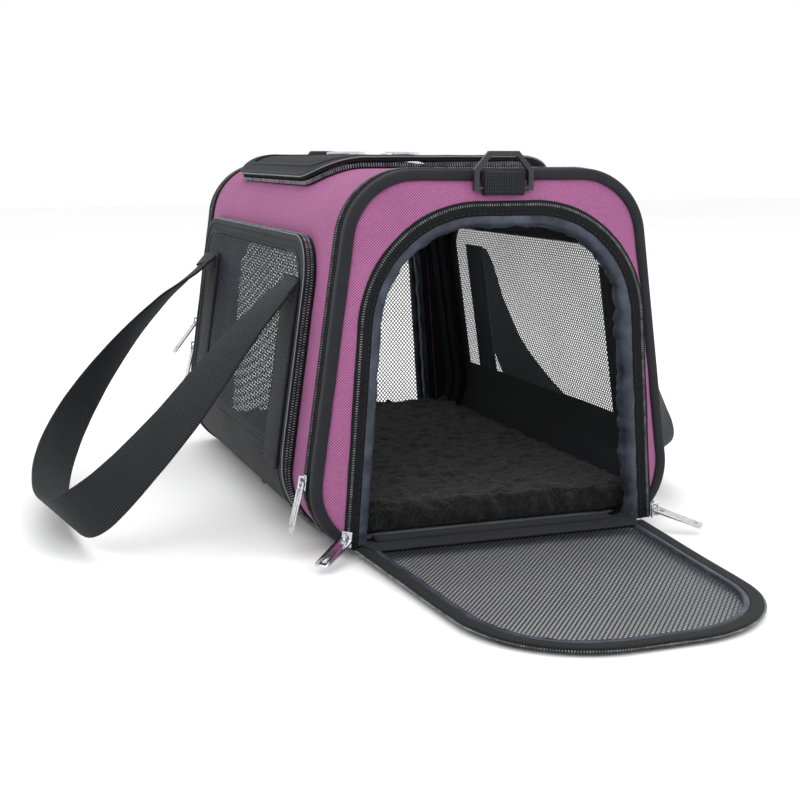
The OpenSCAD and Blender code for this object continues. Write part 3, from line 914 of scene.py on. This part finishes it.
def buildHingeStrip(end, face, opened):
    # the ribbed strip that the door hangs on, from the threshold over the hinge line
    hinge = doorway["hinge"]
    half, middle, z = sillStrip["stripHalf"], doorway["shift"], doorway["sill"]
    xs = np.linspace(-half + middle, half + middle, 90)
    if opened:
        line = [(hinge - 4.0, z + 0.6), (hinge - 1, z + 0.5), (hinge + 2.5, z - 0.1), (hinge + 8, z - 0.6),
                (hinge + 13, z - 0.8)]
    else:
        line = [(hinge - 4.0, z + 0.6), (hinge - 1, z + 0.2), (hinge + 0.3, z + 1.5), (hinge + 0.2, z + 6),
                (hinge + 0.1, z + 11)]
    points, uvs = [], []
    for x in xs:
        run = 0.0
        for j, (y, h) in enumerate(line):
            if j:
                run += math.hypot(y - line[j - 1][0], h - line[j - 1][1])
            narrow = 1 - 0.02 * j
            points.append(((x - middle) * narrow + middle, face * y,
                           h + 0.35 * noise.noise(Vector((x / 20, j * 0.7, face)))))
            uvs.append((x, run))
    strip = makeMesh(end + "HingeStrip", points, gridFaces(len(xs), len(line)), uvs)
    thickened(subdivided(strip, 2), 0.9, 0.0)
    place(strip, None, "black_webbing", ribbedTape)
    if opened:
        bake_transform(strip)
    else:
        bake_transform(strip)


net = {"halfAcross": 1.75, "halfAlong": 2.1, "hole": 0.72, "thick": 0.3,
       "cover": 0.62}                # share of the cloth that is yarn and not holes


def lattice(name, inside, lay, uLow, uHigh, vLow, vHigh):
    # diamond net: every cell is a diamond with a diamond hole; lay puts (u, v) in the bag
    a, b, hole = net["halfAcross"], net["halfAlong"], net["hole"]
    corners, points, faces = {}, [], []

    def corner(i, j):
        if (i, j) not in corners:
            corners[(i, j)] = len(points)
            points.append(lay(uLow + i * a, vLow + j * b))
        return corners[(i, j)]

    for j in range(1, int((vHigh - vLow) / b)):
        for i in range(1 + j % 2, int((uHigh - uLow) / a), 2):
            u, v = uLow + i * a, vLow + j * b
            if not inside(u, v):
                continue
            outer = [corner(i + 1, j), corner(i, j + 1), corner(i - 1, j), corner(i, j - 1)]
            start = len(points)
            for du, dv in ((a, 0), (0, b), (-a, 0), (0, -b)):
                points.append(lay(u + du * hole, v + dv * hole))
            for k in range(4):
                n = (k + 1) % 4
                faces.append((outer[k], outer[n], start + n, start + k))
    obj = makeMesh(name, points, faces, smooth=False)
    return thickened(obj, net["thick"], 0.0)


def openedOut(obj):
    # turns a closed front door down onto the ground
    hinge = Vector((0, -doorway["hinge"], doorway["sill"])) * mm
    turn = Matrix.Rotation(math.radians(90 + doorway["droop"]), 4, "X")
    obj.data.transform(Matrix.Translation(hinge) @ turn @ Matrix.Translation(-hinge))
    return obj


door = {"edgeIn": -3.8, "band": 9.0, "binding": 4.5, "low": 8.6, "foldedNet": 12.0, "toothStep": 1.7,
        "toothSize": 0.6, "seamStep": 4.4, "wave": 1.3, "waveSize": 85}


def doorWave(x, z):
    # how far the cloth door stands in from a true plane, nothing at the hinge
    far = min(1.0, max(0.0, (z - 30) / 120))
    return door["wave"] * far * (0.6 + noise.noise(Vector((x / door["waveSize"], z / door["waveSize"], 4.0))))


def buildDoor(end, opened):
    y = doorway["hinge"] + doorway["doorBack"] + doorway["doorThick"] / 2
    low = door["low"]
    netIn = door["edgeIn"] - doorway["border"]
    parts = []

    def bent(obj):
        for v in obj.data.vertices:
            p = v.co / mm
            v.co.y += doorWave(p.x, p.z) * mm
        obj.data.update()
        return obj

    def inside(u, v):
        return outOfArch(u, v) < netIn + 3.5 and v > low + 2.0

    mesh = bent(lattice(end + "DoorMesh", inside, lambda u, v: Vector((u, -y, v)), -125, 130, 4, 236))
    parts.append((mesh, "black_mesh", netYarn, [end + "_door_mesh"]))
    stations = archStations(-y, 3.0, -1, low=low + 1.5)
    band = sweep(end + "DoorBand", shifted(stations, door["edgeIn"], 0),
                 roundedProfile(-door["band"], 0, -doorway["doorThick"] / 2, doorway["doorThick"] / 2, 1.2),
                 wander=0.35, seed=41)
    parts.append((bent(band), "charcoal_binding", plainTape, [end + "_door_border"]))
    inner = sweep(end + "DoorBinding", shifted(stations, door["edgeIn"] - door["band"] - 1.2, 0),
                  roundedProfile(-door["binding"] + 1.5, 1.5, -1.9, 1.9, 1.3), wander=0.5, seed=44)
    parts.append((bent(inner), "charcoal_binding", facingSatin, []))
    fold = sweep(end + "DoorFold", [(Vector((x, -y, low + 1.2)), Vector((0, 0, 1)), Vector((0, -1, 0)))
                                    for x in np.linspace(-103, 111, 70)],
                 roundedProfile(-1, door["foldedNet"] - 4, -0.9, 0.9, 0.7), wander=0.4, seed=46)
    parts.append((bent(fold), "charcoal_binding", blackClothAndInnerShade, []))
    line = [(p + a * (door["edgeIn"] + 0.5), a, -o) for p, a, o in stations]
    teeth = teethOn(end + "DoorTeeth", line, door["toothStep"], door["toothSize"])
    parts.append((bent(teeth), "zip_coil", coilNylon, [end + "_door_chain"]))
    line = [(p + a * (door["edgeIn"] - 3.2) - o * 1.75, a, -o) for p, a, o in stations]
    seam = seamOn(end + "DoorSeam", line, door["seamStep"])
    parts.append((bent(seam), "charcoal_binding", stitchThread, []))
    for obj, slotName, material, nodes in parts:
        if opened:
            openedOut(obj)
        else:
            mirrored(obj, lengthwise)
        place(obj, end + "_door", slotName, material, *nodes)


def outOfArch(x, z):
    # how far a point of the end face lies outside the doorway's outline
    x = abs(x - doorway["shift"])
    normal = unit(archLean)
    upward = Vector((-math.sin(archLean), math.cos(archLean)))
    p = Vector((x, z))
    hip = archCentre + normal * doorway["radius"]
    if (p - hip).dot(upward) < 0:
        return (p - hip).dot(normal)
    if x < archCentre.x:
        return z - doorway["top"]
    return (p - archCentre).length - doorway["radius"]


for end, face in frontRear:
    buildSill(end, face)
    buildHingeStrip(end, face, face < 0)
    buildDoor(end, face < 0)
print("doors done")


# ---- mesh sides ----

def ease(value, low, high):
    t = min(1, max(0, (value - low) / (high - low)))
    return t * t * (3 - 2 * t)


def sideRaise(y, z=100):
    # how far a side panel stands proud: most at the front, little near the ground
    share = min(1, max(0, (y - sidePanel["front"]) / (sidePanel["rear"] - sidePanel["front"])))
    full = sidePanel["raiseFront"] + (sidePanel["raiseRear"] - sidePanel["raiseFront"]) * share
    return full * (0.25 + 0.75 * ease(z, sidePanel["floor"], 70))


def onSide(side, y, z, d):
    p, n = wallAt(sAtHeight(z))
    return Vector((side * (p.x + n.x * d), y, p.y + n.y * d))


def sideStations(side, height):
    # round a side panel's open outline, height gives how far out the line runs
    s = sidePanel
    loop = roundedLoop(s["front"], s["rear"], s["floor"], s["top"], s["radius"], 3.0, openBelow=True)
    points = [onSide(side, y, z, height(y, z)) for y, z in loop]
    outs = [Vector((side * wallAt(sAtHeight(z))[1].x, 0, wallAt(sAtHeight(z))[1].y)) for y, z in loop]
    stations = along(points, outs)
    middle = onSide(side, (s["front"] + s["rear"]) / 2, s["top"] / 2, 0)
    probe = stations[len(stations) // 2]
    if probe[1].dot(middle - probe[0]) > 0:
        stations = [(p, -a, o) for p, a, o in stations]
    return stations


sideNet = {"low": 62, "bulge": 2.5, "toothStep": 1.9, "toothSize": 0.62, "cord": 0.5}


def buildSide(label, side):
    s = sidePanel
    base = sideStations(side, lambda y, z: 0)
    lines = [(-2.6, -1.4), (1.6, -1.4), (1.2, 1.5), (0.4, 3.0), (-2.6, 3.0)]
    gusset = sweep(label + "SideGusset", base, lines, wander=0.3, seed=50 + side)
    for v in gusset.data.vertices:
        row, column = divmod(v.index, len(lines))
        if column >= 2:
            p, _, o = base[row]
            v.co += o * ((sideRaise(p.y, p.z) - 3.6) * (0.5 if column == 2 else 1.0)) * mm
    gusset.data.update()
    subdivided(gusset)
    place(gusset, "carrier", "zip_tape", zipTape, label + "_gusset")
    top = sideStations(side, sideRaise)
    piping = sweep(label + "SideEdge", top, roundedProfile(-4.2, 0.4, -1.6, 0.5, 1.0),
                   wander=0.4, seed=54 + side)
    bind(piping, bindingTape, label + "_edge")
    band = sweep(label + "SideBand", top, roundedProfile(-s["edge"] - 1, -3.6, -1.6, -0.3, 0.6),
                 wander=0.3, seed=57 + side)
    bind(band, plainTape)
    ridge = sweep(label + "SideRidge", top,
                  roundedProfile(-s["edge"] - 4.4, -s["edge"] - 0.8, -1.8, 0.4, 1.0),
                  wander=0.5, seed=59 + side)
    bind(ridge, bindingTape)
    teeth = []
    for lift in (0.3, 0.62):
        row = [(p + a * 1.2 + o * (sideRaise(p.y, p.z) * lift), o, a) for p, a, o in base]
        teeth.append(teethOn(label + "SideTeeth", row, sideNet["toothStep"], sideNet["toothSize"]))
    joined = joinAll(label + "SideTeeth", teeth)
    place(joined, "carrier", "zip_coil", coilNylon, label + "_chain")
    cord = sideNet["cord"]
    # light cord along the outer edge of the side panel: a painted highlight line
    line = sweep(label + "SideCord", shifted(top, 0.3, -0.3),
                 roundedProfile(-cord, cord, -cord, cord, cord * 0.9, 2), wander=0.3, seed=61 + side)
    bind(line, highlightCord)
    inset = s["edge"] + 2

    def inPanel(u, v):
        dy = max(s["front"] + s["radius"] - u, u - s["rear"] + s["radius"], 0)
        dz = max(v - s["top"] + s["radius"], 0)
        return math.hypot(dy, dz) < s["radius"] - inset

    def lay(u, v):
        span = math.sin(math.pi * min(1, max(0, (u - s["front"]) / (s["rear"] - s["front"]))))
        slack = 1.2 * noise.noise(Vector((u / 60, v / 45, side)))
        return onSide(side, u, v, sideRaise(u, v) - 1.0 + (sideNet["bulge"] + slack) * span * ease(v, 0, 60))

    mesh = lattice(label + "SideMesh", lambda u, v: inPanel(u, v) and v > sideNet["low"], lay,
                   s["front"], s["rear"], sideNet["low"] - 6, s["top"])
    place(mesh, "carrier", "black_mesh", netYarn, label + "_mesh")
    rows = np.linspace(s["floor"] + 2, sideNet["low"] + 6, 14)
    columns = np.linspace(s["front"] + inset - 2, s["rear"] - inset + 2, 80)
    points = [lay(y, z) for z in rows for y in columns]
    uvs = [(y, z) for z in rows for y in columns]
    skirt = makeMesh(label + "SideSkirt", points, gridFaces(len(rows), len(columns)), uvs)
    if side < 0:
        skirt.data.flip_normals()
    thickened(skirt, 1.0)
    place(skirt, "carrier", "black_mesh", plainTape)


for label, side in (("left", -1), ("right", 1)):
    buildSide(label, side)
print("sides done")


# ---- top flap ----

def onTop(x, y, d):
    p, n = wallAt(sAtWidth(x))
    return Vector((p.x + n.x * d, y, p.y + n.y * d))


def flapStations(d):
    # round the flap's outline, d out from the wall
    t = topFlap
    loop = roundedLoop(-t["half"], t["half"], t["front"], t["rear"], t["radius"], 3.0)[:-1]
    points = [onTop(x, y, d) for x, y in loop]
    outs = []
    for x, y in loop:
        n = wallAt(sAtWidth(x))[1]
        outs.append(Vector((n.x, 0, n.y)))
    stations = along(points, outs, closed=True)
    probe = stations[0]
    if probe[1].dot(Vector((0, 27, 250)) - probe[0]) > 0:
        stations = [(p, -a, o) for p, a, o in stations]
    return stations


flapNet = {"crown": 1.5, "toothStep": 1.9, "toothSize": 0.62, "cord": 0.5}


def buildTop():
    t = topFlap
    lines = [(-2.6, -0.8), (1.7, -0.8), (1.3, 1.2), (0.4, 2.5), (-2.6, 2.5)]
    stations = flapStations(0)
    low = sweep("topGusset", stations, lines, closed=True, wander=0.3, seed=70)
    for v in low.data.vertices:
        # by the hinge the gusset draws in under the flap, so that the flap turns clear of it
        row, column = divmod(v.index, len(lines))
        p, a, o = stations[row]
        outward, lift = lines[column]
        share = ease(p.x, t["half"] - t["radius"], t["half"] - t["radius"] + 8)
        v.co -= (a * max(0, outward + 0.4) + o * (0.8 if lift > 2 else 0)) * share * mm
    place(low, "carrier", "zip_tape", zipTape, "top_gusset")
    high = sweep("flapGusset", flapStations(4.2), [(-2.6, 0), (-0.1, 0), (-0.1, 2.2), (-2.6, 2.2)],
                 closed=True, wander=0.3, seed=71)
    place(high, "top_flap", "zip_tape", zipTape, "top_flap_gusset")
    top = flapStations(t["raise"])
    piping = sweep("flapEdge", top, roundedProfile(-4.2, 0.0, -2.3, 0.3, 1.0),
                   closed=True, wander=0.3, seed=72)
    bind(piping, bindingTape, "top_flap_edge", body="top_flap")
    band = sweep("flapBand", top, roundedProfile(-t["edge"] - 2, -3.6, -1.8, -0.4, 0.6),
                 closed=True, wander=0.3, seed=73)
    bind(band, plainTape, body="top_flap")
    ridge = sweep("flapRidge", top, roundedProfile(-t["edge"] - 5.2, -t["edge"] - 1.6, -1.8, 0.4, 1.0),
                  closed=True, wander=0.5, seed=74)
    bind(ridge, bindingTape, body="top_flap")
    cord = flapNet["cord"]
    # light cord along the outer edge of the flap: a painted highlight line
    line = sweep("flapCord", shifted(top, 0.3, -0.8),
                 roundedProfile(-cord, cord, -cord, cord, cord * 0.9, 2), closed=True, wander=0.3, seed=75)
    bind(line, highlightCord, body="top_flap")
    rows = []
    for lift in (1.2, 2.6):
        line = [(p + a * (1.9 - 0.3 * lift) + o * lift, o, a) for p, a, o in stations]
        kept = [q for q in line if q[0].x < t["half"] - t["radius"] * 0.6]
        first = next(k for k in range(len(kept)) if (kept[k][0] - kept[k - 1][0]).length > 8)
        rows.append(teethOn("topTeeth", kept[first:] + kept[:first], flapNet["toothStep"],
                            flapNet["toothSize"]))
    place(joinAll("topTeeth", rows), "carrier", "zip_coil", coilNylon, "top_chain")
    inset = t["edge"] + 3

    def inFlap(u, v):
        dx = max(abs(u) - t["half"] + t["radius"], 0)
        dy = max(t["front"] + t["radius"] - v, v - t["rear"] + t["radius"], 0)
        return math.hypot(dx, dy) < t["radius"] - inset

    def lay(u, v):
        span = math.sin(math.pi * min(1, max(0, (v - t["front"]) / (t["rear"] - t["front"]))))
        far = (1 - (u / t["half"]) ** 2) * span
        return onTop(u, v, t["raise"] - 1.4 + flapNet["crown"] * far)

    mesh = lattice("flapMesh", inFlap, lay, -t["half"], t["half"], t["front"], t["rear"])
    place(mesh, "top_flap", "black_mesh", netYarn, "top_flap_mesh")


buildTop()
print("top done")


# ---- handles and their anchor straps ----

strap = {
    "width": 38, "thick": 2.2, "hinge": 128.98, "height": 186, "rootGap": 0.2, "steps": 8,
    "leftDrop": 45, "rightDrop": 21,                       # tilt of each loop from plumb, in degrees
    # along the body, and down the loop
    "leftRoute": [(-136, 0), (-136, 8), (-136, 16), (-138, 48), (-148, 84), (-164, 131), (-167, 178),
                  (-158, 210), (-126, 231), (-60, 236), (20, 222), (84, 190), (128, 146), (152, 98),
                  (154, 56), (142, 32), (132, 16), (132, 8), (132, 0)],
    "rightRoute": [(-136, 0), (-136, 8), (-136, 16), (-142, 50), (-146, 100), (-138, 142), (-108, 168),
                   (-50, 178), (10, 178), (66, 168), (112, 146), (138, 108), (142, 56), (132, 16),
                   (132, 8), (132, 0)],
    "anchorsAt": (-136, 132), "anchorLow": 52,
}


def smoothRoute(route, steps):
    points = [Vector(p) for p in route]
    last = len(points) - 1
    line = []
    for i in range(last):
        a, b, c, d = points[max(i - 1, 0)], points[i], points[i + 1], points[min(i + 2, last)]
        for k in range(steps):
            t = k / steps
            line.append(0.5 * (2 * b + (c - a) * t + (2 * a - 5 * b + 4 * c - d) * t * t
                               + (3 * b - a - 3 * c + d) * t ** 3))
    return line + [points[-1]]


def buildHandle(label, side):
    route = smoothRoute(strap[label + "Route"], strap["steps"])
    tilt = math.radians(strap[label + "Drop"])
    hinge = Vector((strap["hinge"], 0, strap["height"]))
    down = Vector((math.sin(tilt), 0, -math.cos(tilt)))
    away = Vector((math.cos(tilt), 0, math.sin(tilt)))
    last = len(route) - 1
    stations = []
    for i, p in enumerate(route):
        step = route[min(i + 1, last)] - route[max(i - 1, 0)]
        way = (lengthwise * step.x + down * step.y).normalized()
        turn = math.pi / 2 * math.cos(math.pi * i / last)
        wide = (lengthwise * math.sin(turn) + away * math.cos(turn)).normalized()
        wide = (wide - way * wide.dot(way)).normalized()
        centre = hinge + lengthwise * p.x + down * (strap["rootGap"] + p.y)
        stations.append((centre, wide, way.cross(wide)))
    loop = sweep(label + "Handle", stations, slabProfile(strap["width"], strap["thick"], 0.9),
                 wander=0.25, seed=80 + side)
    if side < 0:
        mirrored(loop, across)
    place(loop, label + "_handle", "black_webbing", webbing, label + "_handle")


def buildAnchors():
    straps, seams = [], []
    for side in (-1, 1):
        for y in strap["anchorsAt"]:
            stations = []
            for z in np.linspace(strap["anchorLow"], strap["height"] + 1, 40):
                p, n = wallAt(sAtHeight(z))
                d = sideRaise(y) + 0.5 + strap["thick"] / 2
                stations.append((onSide(side, y, z, d), lengthwise * side, Vector((side * n.x, 0, n.y))))
            half = strap["width"] / 2
            straps.append(sweep("anchorStraps", stations, slabProfile(strap["width"], strap["thick"], 0.9),
                                wander=0.25, seed=90 + side))
            for shift in (-half + 2.5, half - 2.5):
                line = shifted(stations, shift, strap["thick"] / 2 + 0.1)
                seams.append(seamOn("seam", line, 4.0))
            for row in (2, 5, 34, 37):
                p, a, o = stations[row]
                line = [(p + a * q + o * (strap["thick"] / 2 + 0.1), Vector((0, 0, 1)), o)
                        for q in np.linspace(-half + 3, half - 3, 12)]
                seams.append(seamOn("seam", line, 4.0))
    place(joinAll("anchorStraps", straps), "carrier", "black_webbing", webbing, "handle_anchors")
    place(joinAll("anchorSeams", seams), "carrier", "black_webbing", stitchThread)


for label, side in (("left", -1), ("right", 1)):
    buildHandle(label, side)
buildAnchors()
print("handles done")


# ---- D-rings, tabs, sliders and pulls ----

def softened(node, name, width, steps=2):
    # a copy of a hard CAD piece with its edges rounded over
    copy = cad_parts[node].copy()
    copy.data = copy.data.copy()
    copy.name = name
    copy.parent = None
    for key in list(copy.keys()):
        if key.startswith("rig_"):
            del copy[key]
    bpy.context.scene.collection.objects.link(copy)
    editMesh(copy, lambda: bpy.ops.mesh.remove_doubles(threshold=1e-6),
             lambda: bpy.ops.mesh.dissolve_limited(angle_limit=math.radians(4)))
    finishWith(copy, "BEVEL", width=width * mm, segments=steps, limit_method="ANGLE",
               angle_limit=math.radians(35))
    pick(copy)
    bpy.ops.object.shade_smooth_by_angle(angle=math.radians(45))
    return copy


def buildRings():
    for end, face in frontRear:
        ring = softened(end + "_d_ring", end + "Ring", 1.0, 3)
        place(ring, end + "_d_ring", "ring_plastic", acetal, end + "_d_ring")
    low, high = lowOf("ring_tabs"), highOf("ring_tabs")
    tabs, seams = [], []
    for end, face in frontRear:
        y = face * (high.y - 2.85)
        stations = [(Vector((x, y, (low.z + high.z) / 2)), Vector((0, 0, 1)), lengthwise * face)
                    for x in np.linspace(low.x, high.x, 30)]
        tall = high.z - low.z + 3
        tabs.append(sweep("ringTabs", stations, slabProfile(tall, 5.8, 2.4, 5), wander=0.3, seed=95 + face))
        for z in (-tall / 2 + 2.6, tall / 2 - 2.6):
            seams.append(seamOn("ringSeams", shifted(stations, z, 2.95), 3.6, 1.5))
    place(joinAll("ringTabs", tabs), "carrier", "black_webbing", webbing, "ring_tabs")
    place(joinAll("ringSeams", seams), "carrier", "black_webbing", stitchThread)


def buildSliders():
    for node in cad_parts:
        if node.endswith(("_slider", "_pull")):
            words = node.split("_")
            name = words[0] + "".join(w.capitalize() for w in words[1:])
            piece = softened(node, name, 0.45 if node.endswith("_slider") else 0.35)
            place(piece, node, "chrome_pull", chromePlate, node)


buildRings()
buildSliders()
print("rings and pulls done")


# ---- CAD nodes that stay as they are ----

for node, material in (("frame_strips", springSteel), ("base_board", boardPlastic)):
    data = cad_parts[node].data
    data.materials.clear()
    data.materials.append(material)


for template in (tooth, stitch):
    bpy.data.objects.remove(template)


# ---- floor, light, camera ----

studio = {"sky": 1.0, "aim": (0, 0, 0.12),
          # where each lamp stands, its size in metres and its power in watts
          "lamps": (((-1.2, -1.6, 1.9), 1.6, 22), ((1.5, -1.2, 1.6), 1.6, 12), ((0.1, 0.5, 2.3), 1.8, 16))}
camera = {"lens": 61.7, "sensor": 36, "yaw": 19.88, "pitch": 10.28, "spot": (-0.3897, -1.0859, 0.2767)}


def buildStage():
    floorCloth, shader = newMaterial("paleStudioFloor", Roughness=0.7)
    coords = addNode(floorCloth, "TexCoord")
    cloud = addNode(floorCloth, "TexNoise", {"Vector": coords.outputs["Object"], "Scale": 1.5})
    plug(floorCloth, shader, "Base Color", twoTone(floorCloth, cloud.outputs["Fac"], "#f8f8f8", "#fcfcfc"))
    bpy.ops.mesh.primitive_plane_add(size=12, location=(0, 0, -0.0005))
    floor = bpy.context.object
    floor.name = "floor"
    floor.data.materials.append(floorCloth)
    world = bpy.data.worlds.new("studio")
    world.use_nodes = True
    background = world.node_tree.nodes["Background"]
    background.inputs["Color"].default_value = (1, 1, 1, 1)
    background.inputs["Strength"].default_value = studio["sky"]
    bpy.context.scene.world = world
    bpy.context.scene.view_settings.view_transform = "Standard"
    for spot, size, power in studio["lamps"]:
        bpy.ops.object.light_add(type="AREA", location=spot)
        lamp = bpy.context.object
        lamp.data.size = size
        lamp.data.energy = power
        lamp.rotation_euler = (Vector(studio["aim"]) - Vector(spot)).to_track_quat("-Z", "Y").to_euler()


def buildCamera():
    data = bpy.data.cameras.new("camera")
    data.lens = camera["lens"]
    data.sensor_width = camera["sensor"]
    data.dof.use_dof = False
    made = bpy.data.objects.new("camera", data)
    bpy.context.scene.collection.objects.link(made)
    made.location = camera["spot"]
    made.rotation_euler = (math.pi / 2 - math.radians(camera["pitch"]), 0, -math.radians(camera["yaw"]))
    bpy.context.scene.camera = made


buildStage()
buildCamera()
bpy.ops.object.select_all(action="DESELECT")
